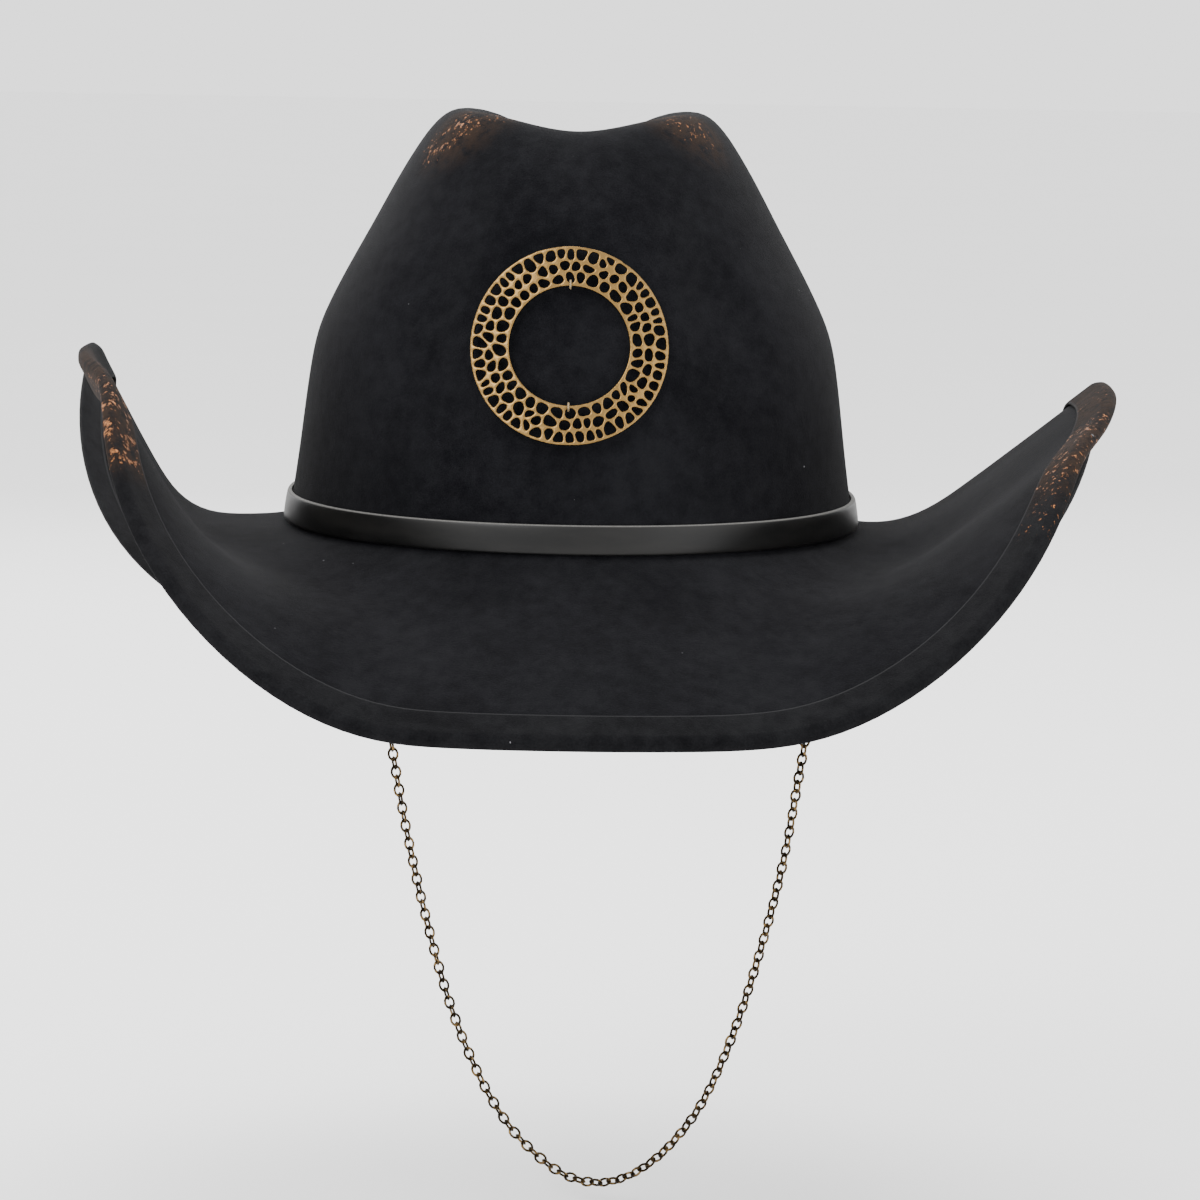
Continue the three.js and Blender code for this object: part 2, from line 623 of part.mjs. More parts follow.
// Rounds an opening by cutting its corners off.
const withoutCorners = (points) => points.flatMap((p, i) => {
  const next = points[(i + 1) % points.length];
  return [p.clone().lerp(next, CORNER_CUT), next.clone().lerp(p, CORNER_CUT)];
});

function pathFrom(points, path) {
  path.setFromPoints(points);
  path.closePath();
  return path;
}

function ringShape() {
  const circle = (radius) => Array.from({ length: RING.sides }, (_, i) => (
    polar({ turn: (2 * PI * i) / RING.sides, radius })
  ));
  const shape = pathFrom(circle(RING.outer), new THREE.Shape());
  shape.holes.push(pathFrom(circle(RING.inner), new THREE.Path()));
  for (const opening of ringOpenings().map(withoutShortSides)) {
    const open = abs(THREE.ShapeUtils.area(opening)) > SMALLEST_OPENING;
    if (open) shape.holes.push(pathFrom(withoutCorners(opening), new THREE.Path()));
  }
  return shape;
}

// The flat ring, bent round a drum that stands upright behind it.
function ringOrnament() {
  const geometry = new THREE.ExtrudeGeometry(ringShape(), { depth: RING.thick, bevelEnabled: false });
  const spots = geometry.attributes.position;
  for (let i = 0; i < spots.count; i += 1) {
    const turn = spots.getX(i) / RING.bend;
    const radius = RING.bend + spots.getZ(i);
    spots.setXYZ(i, radius * sin(turn), spots.getY(i), radius * cos(turn) - RING.bend);
  }
  return geometry.applyMatrix4(ringFrame());
}

// A thread over the inner rim: up through the hole, over, and down through an opening of the inner row.
function stitch(side) {
  const clear = GAP + STITCH.radius;
  const span = RING.rim / 2 + clear;
  const middle = side * (RING.inner + RING.rim / 2);
  const spots = [[middle - span, 0]];
  for (let k = 0; k <= STITCH.arcSteps; k += 1) {
    const turn = PI - (PI * k) / STITCH.arcSteps;
    spots.push([middle + span * cos(turn), RING.thick + span * sin(turn)]);
  }
  spots.push([middle + span, 0]);
  return sweep(pathSections(spots, STITCH.radius, STITCH.sides), false).applyMatrix4(ringFrame());
}

// Round sections along an open path in the plane x = 0, given as its y and z.
function pathSections(spots, radius, sides) {
  const sideways = new THREE.Vector3(1, 0, 0);
  const points = spots.map(([y, z]) => new THREE.Vector3(0, y, z));
  return points.map((point, i) => {
    const before = points[max(0, i - 1)];
    const after = points[min(points.length - 1, i + 1)];
    const across = after.clone().sub(before).normalize().cross(sideways);
    return roundSection(point, radius, across, sideways, sides);
  });
}

addPiece('ring_ornament', ringOrnament(), brass);
addPiece('ring_stitch_top', stitch(1), thread);
addPiece('ring_stitch_bottom', stitch(-1), thread);

// ---- chain hangers ----
const TAB_HOLE = D_RING.wire + GAP;
const D_HALF_BAR = TAB.width / 2 + GAP + D_RING.wire;
const D_DEPTH = D_RING.side + D_HALF_BAR; // from the bar down to the bottom of the bow
const JUMP_RADIUS = JUMP_RING.inner + JUMP_RING.wire;
const JUMP_DROP = D_DEPTH + JUMP_RING.inner - D_RING.wire - GAP;

// A hanger's frame: its origin is the middle of the D ring's bar, its x runs along the bar, its y points
// in towards the head and its z up.
function hangerFrame(turn) {
  const outward = outwardAt(turn);
  const inward = outward.clone().negate();
  const along = inward.clone().cross(UP);
  const room = GAP + ovalSag(TAB.width) + TAB.thick / 2;
  const origin = sweatPoint(turn, SWEAT_OUTSIDE - SWEAT.thick, TAB.top).addScaledVector(inward, room);
  origin.z = -TAB.drop;
  return new THREE.Matrix4().makeBasis(along, inward, UP).setPosition(origin);
}

// Lays the side view's x along the hanger's y, its y along z and its depth along x.
const TAB_TURN = new THREE.Matrix4().makeBasis(new THREE.Vector3(0, 1, 0), UP, new THREE.Vector3(1, 0, 0));

// The tab's side view: a strip that widens round the hole in its fold.
function chainTab() {
  const eye = TAB_HOLE + TAB.wall;
  const half = TAB.thick / 2;
  const bend = atan2(half, sqrt(eye ** 2 - half ** 2));
  const outline = new THREE.Shape();
  outline.moveTo(half, TAB.top + TAB.drop);
  outline.lineTo(-half, TAB.top + TAB.drop);
  outline.absarc(0, 0, eye, PI / 2 + bend, (5 * PI) / 2 - bend, false);
  const hole = new THREE.Path();
  hole.absarc(0, 0, TAB_HOLE, 0, 2 * PI, true);
  outline.holes.push(hole);
  const { width: depth, arcSteps: curveSegments } = TAB;
  const geometry = new THREE.ExtrudeGeometry(outline, { depth, bevelEnabled: false, curveSegments });
  geometry.translate(0, 0, -TAB.width / 2);
  return geometry.applyMatrix4(TAB_TURN);
}
// Points of an arc in the hanger's plane y = 0.
function arcSpots(x, z, radius, from, to, steps) {
  return Array.from({ length: steps + 1 }, (_, k) => {
    const turn = from + ((to - from) * k) / steps;
    return new THREE.Vector3(x + radius * cos(turn), 0, z + radius * sin(turn));
  });
}

function dRing() {
  const { corner, cornerSteps, arcSteps, side, wire, sides } = D_RING;
  const bend = D_HALF_BAR - corner;
  const spots = [
    ...arcSpots(bend, -corner, corner, PI / 2, 0, cornerSteps),
    ...arcSpots(0, -side, D_HALF_BAR, 0, -PI, arcSteps),
    ...arcSpots(-bend, -corner, corner, PI, PI / 2, cornerSteps),
  ];
  return ringAlong(spots, new THREE.Vector3(0, 1, 0), wire, sides);
}

function jumpRing() {
  const { wire, steps, sides } = JUMP_RING;
  const spots = Array.from({ length: steps }, (_, k) => {
    const turn = (2 * PI * k) / steps;
    return new THREE.Vector3(0, JUMP_RADIUS * cos(turn), JUMP_RADIUS * sin(turn) - JUMP_DROP);
  });
  return ringAlong(spots, new THREE.Vector3(1, 0, 0), wire, sides);
}

// A closed wire through points of one plane.
function ringAlong(spots, planeNormal, wire, sides) {
  const count = spots.length;
  const sections = spots.map((point, i) => {
    const along = spots[(i + 1) % count].clone().sub(spots[(i + count - 1) % count]).normalize();
    return roundSection(point, wire, along.clone().cross(planeNormal), planeNormal, sides);
  });
  return sweep(sections, true);
}

for (const [side, turn] of Object.entries(HANGER_TURNS)) {
  const frame = hangerFrame(turn);
  addPiece(`chain_tab_${side}`, chainTab().applyMatrix4(frame), strapLeather);
  addPiece(`chain_ring_${side}`, dRing().applyMatrix4(frame), darkBrass);
  addPiece(`jump_ring_${side}`, jumpRing().applyMatrix4(frame), darkBrass);
}

// ---- chin chain ----
function chinChain() {
  const outline = new THREE.Shape();
  const radius = CHAIN_DIAMETER / 2;
  for (let i = 0; i < CHAIN_SIDES; i += 1) {
    const turn = (2 * PI * i) / CHAIN_SIDES;
    if (i === 0) outline.moveTo(radius, 0);
    else outline.lineTo(radius * cos(turn), radius * sin(turn));
  }
  outline.closePath();
  const spots = CHAIN_POINTS.map((p) => new THREE.Vector3(...p));
  const route = new THREE.CatmullRomCurve3(spots, false, 'centripetal');
  return new THREE.ExtrudeGeometry(outline, { steps: CHAIN_STEPS, extrudePath: route });
}

addPiece('chin_chain', chinChain(), darkBrass);

export default hat;
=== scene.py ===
# %% [markdown]
# # A creased felt hat with a pierced ring and a chain chin strap
#
# The hat is one blocked piece of wool felt. A folded strip binds the edge of its brim, a glossy leather band
# runs round the foot of its crown, and a pierced brass ring is sewn on the front. A fine brass chain hangs
# under the brim from two small rings.
#
# The measured model is loaded first, and stays where it is. Each cell then makes one piece round it, in the
# same metres, and gives it a finish of its own. Up is +Z and the front of the hat faces -Y.

# %% Load the measured hat
import math
import random

import bmesh
import bpy
from mathutils import Matrix, Vector
from mathutils.geometry import interpolate_bezier


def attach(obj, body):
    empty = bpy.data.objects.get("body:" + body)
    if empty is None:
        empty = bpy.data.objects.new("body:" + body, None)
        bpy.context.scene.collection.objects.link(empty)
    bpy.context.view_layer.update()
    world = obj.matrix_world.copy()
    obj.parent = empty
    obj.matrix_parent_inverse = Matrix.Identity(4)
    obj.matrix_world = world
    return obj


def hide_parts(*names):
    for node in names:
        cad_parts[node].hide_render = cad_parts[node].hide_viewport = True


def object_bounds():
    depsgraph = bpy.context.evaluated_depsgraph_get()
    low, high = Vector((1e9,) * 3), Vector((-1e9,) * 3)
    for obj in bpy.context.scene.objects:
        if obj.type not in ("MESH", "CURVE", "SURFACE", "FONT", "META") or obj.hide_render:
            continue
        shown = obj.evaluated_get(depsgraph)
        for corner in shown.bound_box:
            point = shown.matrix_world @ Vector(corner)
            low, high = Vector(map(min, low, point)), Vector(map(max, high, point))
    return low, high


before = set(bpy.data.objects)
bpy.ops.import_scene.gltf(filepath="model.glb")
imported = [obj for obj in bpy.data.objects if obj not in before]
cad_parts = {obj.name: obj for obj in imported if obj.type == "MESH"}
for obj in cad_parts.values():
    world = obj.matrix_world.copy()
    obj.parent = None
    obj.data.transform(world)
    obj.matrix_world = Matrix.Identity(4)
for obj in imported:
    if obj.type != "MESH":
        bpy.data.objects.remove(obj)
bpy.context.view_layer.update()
MM = 0.001
UP = Vector((0, 0, 1))
ACROSS = Vector((1, 0, 0))

# %% [markdown]
# ## Selecting
#
# An operator acts on everything that is selected, and the measured pieces start out selected. So each step
# first drops the whole selection and takes up one object.

# %% Take up one object
def drop_all():
    if bpy.context.object and bpy.context.object.mode != "OBJECT":
        bpy.ops.object.mode_set(mode="OBJECT")
    bpy.ops.object.select_all(action="DESELECT")


def take(piece):
    drop_all()
    piece.select_set(True)
    bpy.context.view_layer.objects.active = piece
    return piece


def apply_modifier(piece, kind, **settings):
    take(piece)
    modifier = piece.modifiers.new(kind.title(), kind)
    for name, value in settings.items():
        setattr(modifier, name, value)
    bpy.ops.object.modifier_apply(modifier=modifier.name)


# %% [markdown]
# ## The camera
#
# A long lens a little above the brim shows the hat from the front. The hat leans a degree to its right, so
# the camera is turned by that much about its own line of sight, and a small shift leaves room for the chain.

# %% Set the camera
DISTANCE = 1.4
ELEVATION = math.radians(6)
LEAN = math.radians(1)
LENS = 135.66
FILM_WIDTH = 36
SHIFT_ACROSS = 0.0242
SHIFT_UP = -0.0642
FARTHEST_SEEN = 100
BRIM_TOP = 2.6 * MM

right = Vector((math.cos(LEAN), 0, math.sin(LEAN)))
upright = Vector((-math.sin(LEAN), 0, math.cos(LEAN)))
camera_up = upright * math.cos(ELEVATION) + Vector((0, math.sin(ELEVATION), 0))
backwards = right.cross(camera_up)
camera = bpy.data.objects.new("camera", bpy.data.cameras.new("camera"))
bpy.context.scene.collection.objects.link(camera)
turned = Matrix((right, camera_up, backwards)).transposed().to_4x4()
camera.matrix_world = Matrix.Translation(backwards * DISTANCE + UP * BRIM_TOP) @ turned
camera.data.lens = LENS
camera.data.sensor_width = FILM_WIDTH
camera.data.shift_x = SHIFT_ACROSS
camera.data.shift_y = SHIFT_UP
camera.data.clip_end = FARTHEST_SEEN
bpy.context.scene.camera = camera
print("camera at", tuple(round(c, 3) for c in camera.location))

# %% [markdown]
# ## The chin chain
#
# A chain of this kind is made of small round links, each turned a quarter against the next. It is a free
# cord, so it gets its real length, and its line is the same list of points as the measured tube's. One link
# is modelled and copied along that line. Near each end the links hang square to the ring that holds them,
# and in between the chain has turned by an eighth, so that both sets of links show.

# %% The line the chain hangs on
CHAIN_ROUTE = [
    (80.5, 3.5, -18.5), (78.5, 4, -34.5), (76, 5, -53.5), (72.5, 6.5, -78), (68.5, 8, -104),
    (62, 10.5, -133), (54, 14, -161), (45, 17.5, -183.5), (35.5, 21, -198), (26.5, 24.5, -207),
    (18, 28, -212), (10, 31, -213.5), (1.5, 34.5, -212), (-7, 38, -207), (-16.5, 41.5, -198),
    (-26, 45, -183.5), (-36, 49, -161), (-44.5, 52.5, -133), (-51.5, 55, -104), (-56.5, 57, -78),
    (-60.5, 58.5, -53.5), (-63.5, 60, -34.5), (-65.5, 60.5, -18.5),
]
CURVE_STEPS = 24


def smooth_line(points):
    """Close points on a smooth curve through the given ones."""
    ends = [points[0] * 2 - points[1]] + points + [points[-1] * 2 - points[-2]]
    line = []
    for before, here, after, beyond in zip(ends, ends[1:], ends[2:], ends[3:]):
        third = (after - here).length / 3
        leave = here + (after - before).normalized() * third
        arrive = after - (beyond - here).normalized() * third
        line += interpolate_bezier(here, leave, arrive, after, CURVE_STEPS)[:-1]
    return line + [points[-1]]


def walk(line, step):
    """Points and directions every step along a line."""
    spots, left = [], 0.0
    for a, b in zip(line, line[1:]):
        length = (b - a).length
        while left <= length:
            spots.append((a.lerp(b, left / length), (b - a).normalized()))
            left += step
        left -= length
    return spots


chain_line = smooth_line([Vector(p) * MM for p in CHAIN_ROUTE])
chain_length = sum((b - a).length for a, b in zip(chain_line, chain_line[1:]))
print(f"chain {chain_length * 1000:.0f} mm")

# %% Model one link
LINK_WIRE = 0.4 * MM
LINK_RADIUS = 1.5 * MM
LINK_STRETCH = 1.25
LINK_SIDES = 12
WIRE_SIDES = 5

drop_all()
bpy.ops.mesh.primitive_torus_add(
    major_radius=LINK_RADIUS, minor_radius=LINK_WIRE,
    major_segments=LINK_SIDES, minor_segments=WIRE_SIDES)
link = bpy.context.object
bpy.ops.object.mode_set(mode="EDIT")
bpy.ops.mesh.select_all(action="SELECT")
bpy.ops.transform.resize(value=(LINK_STRETCH, 1, 1))
bpy.ops.object.mode_set(mode="OBJECT")
link_pitch = 2 * (LINK_RADIUS * LINK_STRETCH - LINK_WIRE)
print(f"link pitch {link_pitch * 1000:.2f} mm")

# %% Copy the link along the line
QUARTER_TURN = math.radians(90)
EIGHTH_TURN = math.radians(45)
SETTLE = 10  # links from an end until the chain has turned
WOBBLE = 6  # degrees that a link may lie askew
LINK_SEED = 7
JUST_SHORT = 0.999999  # keeps the last link on the line
dice = random.Random(LINK_SEED)

link_count = 2 * round(chain_length / link_pitch / 2) + 1
link_spots = walk(chain_line, chain_length / (link_count - 1) * JUST_SHORT)
chord = (chain_line[-1] - chain_line[0]).normalized()
across_chain = chord.cross(UP).normalized()

links = []
for k, (spot, direction) in enumerate(link_spots):
    from_end = min(k, link_count - 1 - k)
    turn = QUARTER_TURN * (k % 2) + EIGHTH_TURN * min(1, from_end / SETTLE)
    turn += math.radians(dice.uniform(-WOBBLE, WOBBLE)) * min(1, from_end / SETTLE)
    side = (across_chain - direction * across_chain.dot(direction)).normalized()
    side = Matrix.Rotation(turn, 3, direction) @ side
    axes = Matrix((direction, side, direction.cross(side))).transposed().to_4x4()
    copy = bpy.data.objects.new(f"link_{k}", link.data.copy())
    copy.data.transform(Matrix.Translation(spot) @ axes)
    bpy.context.scene.collection.objects.link(copy)
    links.append(copy)

bpy.data.objects.remove(link)
chain = take(links[0])
for copy in links:
    copy.select_set(True)
bpy.ops.object.join()
chain.name = "chain_of_links"
bpy.ops.object.shade_smooth()
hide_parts("chin_chain")
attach(chain, "chain_swing_body")
print(len(link_spots), "links,", len(chain.data.polygons), "faces")

# %% [markdown]
# ## Finishes
#
# A finish is a small network of nodes. Written as Python, its sums read like sums: a Wire holds one value on
# its way through the network, and a plus or a times between wires adds the Math node. Everything else comes
# from one method, which takes the kind of node, its settings and what goes in.

# %% A finish and its wires
class Wire:
    """One value on its way through a finish."""

    def __init__(self, finish, socket):
        self.finish = finish
        self.socket = socket

    def _math(self, operation, first, second):
        return self.finish.add("Math", {"operation": operation}, {0: first, 1: second})

    def __add__(self, other):
        return self._math("ADD", self, other)

    def __radd__(self, other):
        return self._math("ADD", other, self)

    def __sub__(self, other):
        return self._math("SUBTRACT", self, other)

    def __rsub__(self, other):
        return self._math("SUBTRACT", other, self)

    def __mul__(self, other):
        return self._math("MULTIPLY", self, other)

    def __rmul__(self, other):
        return self._math("MULTIPLY", other, self)

    def most(self, other):
        return self._math("MAXIMUM", self, other)


class Finish:
    """A material, and the one way to add a node to it."""

    def __init__(self, name):
        self.material = bpy.data.materials.new(name)
        self.material.use_nodes = True
        self.tree = self.material.node_tree
        self.shader = self.tree.nodes["Principled BSDF"]
        self.place = self.add("TexCoord", out="Object")

    def add(self, kind, settings=None, inputs=None, out=0):
        node = self.tree.nodes.new("ShaderNode" + kind)
        for name, value in (settings or {}).items():
            setattr(node, name, value)
        for name, value in (inputs or {}).items():
            self.feed(node.inputs[name], value)
        return Wire(self, node.outputs[out])

    def feed(self, socket, value):
        if isinstance(value, Wire):
            self.tree.links.new(value.socket, socket)
        else:
            socket.default_value = value

    def noise(self, size, detail=3.0, roughness=0.5, place=None):
        """Soft random patches about that size, in metres."""
        inputs = {"Vector": place or self.place, "Scale": 1 / size, "Detail": detail, "Roughness": roughness}
        return self.add("TexNoise", None, inputs)

    def stretched(self, x, y, z):
        """The place, squeezed along each axis, so that patterns grow longer there."""
        return self.add("Mapping", None, {"Vector": self.place, "Scale": (x, y, z)})

    def step(self, value, low, high):
        """0 up to low, 1 from high, and smooth in between."""
        inputs = {"Value": value, "From Min": low, "From Max": high}
        return self.add("MapRange", {"interpolation_type": "SMOOTHSTEP"}, inputs)

    def mix(self, share, first, second):
        """A colour between two others."""
        return self.add("Mix", {"data_type": "RGBA"}, {0: share, 6: first, 7: second}, out=2)

    def near(self, centre, whole, gone):
        """1 within one distance of a point, in metres, and 0 beyond another."""
        inputs = {0: self.place, 1: centre}
        away = self.add("VectorMath", {"operation": "DISTANCE"}, inputs, out="Value")
        return 1 - self.step(away, whole, gone)

    def height(self):
        return self.add("SeparateXYZ", None, {0: self.place}, out="Z")

    def bump(self, height, depth, strength=1.0):
        return self.add("Bump", None, {"Height": height, "Distance": depth, "Strength": strength})

    def surface(self, **inputs):
        """Sets or links the shader's sockets: base_color stands for Base Color."""
        for name, value in inputs.items():
            self.feed(self.shader.inputs[name.replace("_", " ").title().replace("Ior", "IOR")], value)
        return self.material


def dress(piece, material):
    piece.data.materials.clear()
    piece.data.materials.append(material)


# %% [markdown]
# ## Dark brass for the chain and its rings
#
# Antique brass is bright metal under a brown-black film. The film wears off where links rub, so a patchy
# noise lets the metal through in small spots, and the film is rougher than the metal.

# %% Dark brass
def dark_brass():
    finish = Finish("dark_antique_brass")
    patches = finish.step(finish.noise(1.6 * MM, 4.0, 0.6), 0.46, 0.68)
    grain = finish.noise(0.25 * MM, 3.0)
    film, metal = (0.014, 0.009, 0.004, 1), (0.20, 0.125, 0.05, 1)
    return finish.surface(
        base_color=finish.mix(patches, film, metal), metallic=1.0,
        roughness=0.46 - 0.14 * patches + 0.08 * grain, normal=finish.bump(grain, 0.02 * MM, 0.5))


chain_metal = dark_brass()
dress(chain, chain_metal)

# %% [markdown]
# ## Finer copies of the measured pieces
#
# The measured pieces have the right shape with coarse faces. A copy of one is merged into a single skin, its
# triangles are joined in pairs, its sharp edges get a small bevel where one is asked for, and a subdivision
# surface rounds the rest. The measured piece is then hidden and stays for the motion.

# %% Make a finer copy
SAME_POINT = 0.01 * MM
FLAT_PAIR = math.radians(50)
SHARP = math.radians(35)


def finer(node, name, body, material, corner=0.0, levels=2, mark=None):
    piece = bpy.data.objects.new(name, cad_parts[node].data.copy())
    bpy.context.scene.collection.objects.link(piece)
    take(piece)
    bpy.ops.object.mode_set(mode="EDIT")
    bpy.ops.mesh.select_all(action="SELECT")
    bpy.ops.mesh.remove_doubles(threshold=SAME_POINT)
    bpy.ops.mesh.tris_convert_to_quads(face_threshold=FLAT_PAIR, shape_threshold=FLAT_PAIR)
    bpy.ops.object.mode_set(mode="OBJECT")
    if mark:
        mark(piece)
    if corner:
        apply_modifier(piece, "BEVEL", width=corner, segments=1, limit_method="ANGLE", angle_limit=SHARP)
    if levels:
        apply_modifier(piece, "SUBSURF", levels=levels, render_levels=levels)
    take(piece)
    bpy.ops.object.shade_smooth()
    dress(piece, material)
    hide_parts(node)
    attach(piece, body)
    print(name, len(piece.data.polygons), "faces")
    return piece


# %% [markdown]
# ## The felt
#
# Wool felt is a mat of fine crimped hair with a short brushed nap. Close to, it is mottled: the hairs lie in
# small swirls that catch the light or lose it. At the peaks of the crown and along the rolled edges copper
# paint has been dabbed on over a brown stain, for an old, worn look, and a speck of lint clings here and there.
# One function makes the felt, and is told where the paint and the stain lie.

# %% Felt
LINT = (0.12, 0.12, 0.125, 1)
FUZZ = (0.022, 0.022, 0.023, 1)
PAINT_DARK, PAINT_LIGHT = (0.050, 0.021, 0.009, 1), (0.36, 0.14, 0.045, 1)
STAIN = (0.020, 0.012, 0.008, 1)


def felt(name, dark, light, dabs, stains):
    finish = Finish(name)
    swirls = finish.noise(5 * MM, 5.0, 0.62)
    clouds = finish.noise(38 * MM, 3.0)
    hairs = finish.noise(0.5 * MM, 3.0, 0.7)
    tone = finish.step(0.35 * swirls + 0.35 * clouds + 0.3 * hairs, 0.32, 0.70)
    colour = finish.mix(tone, dark, light)

    stained = 0.0
    for centre, whole, gone in stains:
        stained = finish.near(centre, whole, gone).most(stained)
    smudge = finish.step(finish.noise(4 * MM, 4.0, 0.6), 0.3, 0.6)
    colour = finish.mix(0.85 * stained * smudge, colour, STAIN)

    painted = 0.0
    for centre, whole, gone, thick in dabs:
        painted = (thick * finish.near(centre, whole, gone)).most(painted)
    clumps = finish.step(finish.noise(5.5 * MM, 2.0), 0.36, 0.62)
    strokes = finish.noise(1.9 * MM, 4.0, 0.68, finish.stretched(1.5, 1.1, 0.6))
    flecks = finish.step(strokes + 0.15 * painted * clumps, 0.63, 0.69) * finish.step(painted, 0.02, 0.25)
    paint = finish.mix(finish.step(finish.noise(0.9 * MM, 3.0, 0.6), 0.35, 0.65), PAINT_DARK, PAINT_LIGHT)
    colour = finish.mix(flecks, colour, paint)
    lint = finish.step(finish.noise(2.2 * MM, 1.0), 0.825, 0.85)
    colour = finish.mix(lint, colour, LINT)

    fuzz = finish.add("Attribute", {"attribute_name": "cut_edge"}, out="Fac")
    fuzz = finish.step(fuzz + 0.1 * hairs, 0.86, 1.0)
    colour = finish.mix(0.7 * fuzz, colour, FUZZ)

    nap = 0.65 * hairs + 0.35 * finish.noise(1.4 * MM, 4.0, 0.7)
    return finish.surface(
        base_color=colour, roughness=0.93 - 0.4 * flecks, metallic=0.35 * flecks,
        normal=finish.bump(nap + 0.3 * flecks, 0.32 * MM, 0.85),
        sheen_weight=0.02, sheen_roughness=0.5, specular_ior_level=0.03)


CROWN_DABS = [
    ((-0.0344, -0.048, 0.1256), 0.003, 0.014, 0.75), ((-0.041, -0.0443, 0.121), 0.003, 0.012, 0.85),
    ((0.0331, -0.0465, 0.1267), 0.003, 0.013, 0.7), ((-0.0232, -0.0477, 0.1273), 0.002, 0.009, 0.5),
]
CROWN_STAINS = [((-0.034, -0.047, 0.125), 0.006, 0.022), ((0.033, -0.046, 0.126), 0.006, 0.020)]
NAP_DARK, NAP_LIGHT = (0.0017, 0.0017, 0.0024, 1), (0.0078, 0.0079, 0.0092, 1)
hat_felt = felt("brushed_wool_felt", NAP_DARK, NAP_LIGHT, CROWN_DABS, CROWN_STAINS)
finer("felt_body", "felt_hat", "hat", hat_felt)

# %% [markdown]
# ## The brim's bound edge
#
# A strip of thinner felt is folded over the edge of the brim and sewn down, so its border shows as a low
# step all round. Its folded edge is what hands and shelves touch, so most of the wear is here: copper dabs
# on the upper half of each wing, and a brown stain that fades below them. Where the strip was cut its hairs
# stand out as a thin lighter line, so those edges are marked for the finish to read.

# %% Binding
EDGE_DABS = [
    ((-0.1411, -0.0572, 0.0532), 0.003, 0.014, 0.45), ((-0.1365, -0.080, 0.047), 0.006, 0.018, 0.7),
    ((-0.1332, -0.0962, 0.0416), 0.007, 0.020, 1.0), ((-0.1292, -0.1074, 0.0341), 0.003, 0.014, 0.9),
    ((0.1600, -0.0200, 0.0470), 0.004, 0.020, 0.2), ((0.1511, -0.0620, 0.0394), 0.008, 0.024, 0.45),
    ((0.1439, -0.0893, 0.0329), 0.008, 0.022, 0.5), ((0.1361, -0.1116, 0.0205), 0.005, 0.016, 0.3),
]
EDGE_STAINS = [
    ((-0.140, -0.050, 0.054), 0.015, 0.050), ((-0.132, -0.098, 0.040), 0.012, 0.030),
    ((0.160, -0.020, 0.047), 0.015, 0.045), ((0.148, -0.075, 0.036), 0.014, 0.045),
]
STRIP_DARK, STRIP_LIGHT = (0.0016, 0.0016, 0.0021, 1), (0.0082, 0.0083, 0.0092, 1)
STRIP_EDGE_SHARP = math.radians(75)


def mark_cut_edges(piece):
    """Keeps 1 at the strip's square edges, where the felt was cut, and 0 elsewhere."""
    mesh = bmesh.new()
    mesh.from_mesh(piece.data)
    layer = mesh.verts.layers.float.new("cut_edge")
    for edge in mesh.edges:
        if edge.calc_face_angle(0) > STRIP_EDGE_SHARP:
            for vertex in edge.verts:
                vertex[layer] = 1.0
    mesh.to_mesh(piece.data)
    mesh.free()


strip_felt = felt("bound_edge_felt", STRIP_DARK, STRIP_LIGHT, EDGE_DABS, EDGE_STAINS)
finer("brim_binding", "bound_edge", "hat", strip_felt,
      corner=0.3 * MM, mark=mark_cut_edges)

# %% [markdown]
# ## The leather band
#
# The band is a narrow strap of smooth black leather with a high polish. It was cut and not turned under, and
# a thin pale line is painted along its top edge, partly as the raw pale core and partly as a painted highlight
# where that edge catches the light. The polish is not even: it is duller in long patches, and small creases
# run across it. The loop over its joint is of the same leather.

# %% Polished leather
BAND_TOP = 12.75 * MM


def strap_leather(name, pale_from):
    finish = Finish(name)
    patches = finish.noise(14 * MM, 3.0, 0.5, finish.stretched(0.4, 0.4, 2))
    grain = finish.noise(0.7 * MM, 4.0, 0.6)
    creases = finish.noise(3 * MM, 3.0, 0.5, finish.stretched(1, 1, 0.25))
    # Painted highlight: a thin pale line along the top edge, partly the raw edge of the leather and partly the
    # light caught by that edge.
    raw_edge_and_highlight = finish.step(finish.height(), pale_from - 0.35 * MM, pale_from)
    black = finish.mix(finish.step(patches, 0.35, 0.7), (0.002, 0.002, 0.002, 1), (0.006, 0.0057, 0.0053, 1))
    pale = finish.mix(grain, (0.045, 0.044, 0.042, 1), (0.13, 0.127, 0.12, 1))
    return finish.surface(
        base_color=finish.mix(raw_edge_and_highlight, black, pale), metallic=0.0,
        roughness=0.3 + 0.2 * patches + 0.35 * raw_edge_and_highlight,
        normal=finish.bump(0.6 * creases + 0.4 * grain, 0.09 * MM, 0.5), specular_ior_level=0.22)


band_leather = strap_leather("polished_strap_leather", BAND_TOP)
finer("hatband", "leather_band", "hat", band_leather, corner=0.16 * MM)
LOOP_TOP = 30 * MM
keeper_leather = strap_leather("keeper_leather", LOOP_TOP)
finer("hatband_keeper", "band_loop", "hat", keeper_leather, corner=0.2 * MM, levels=1)
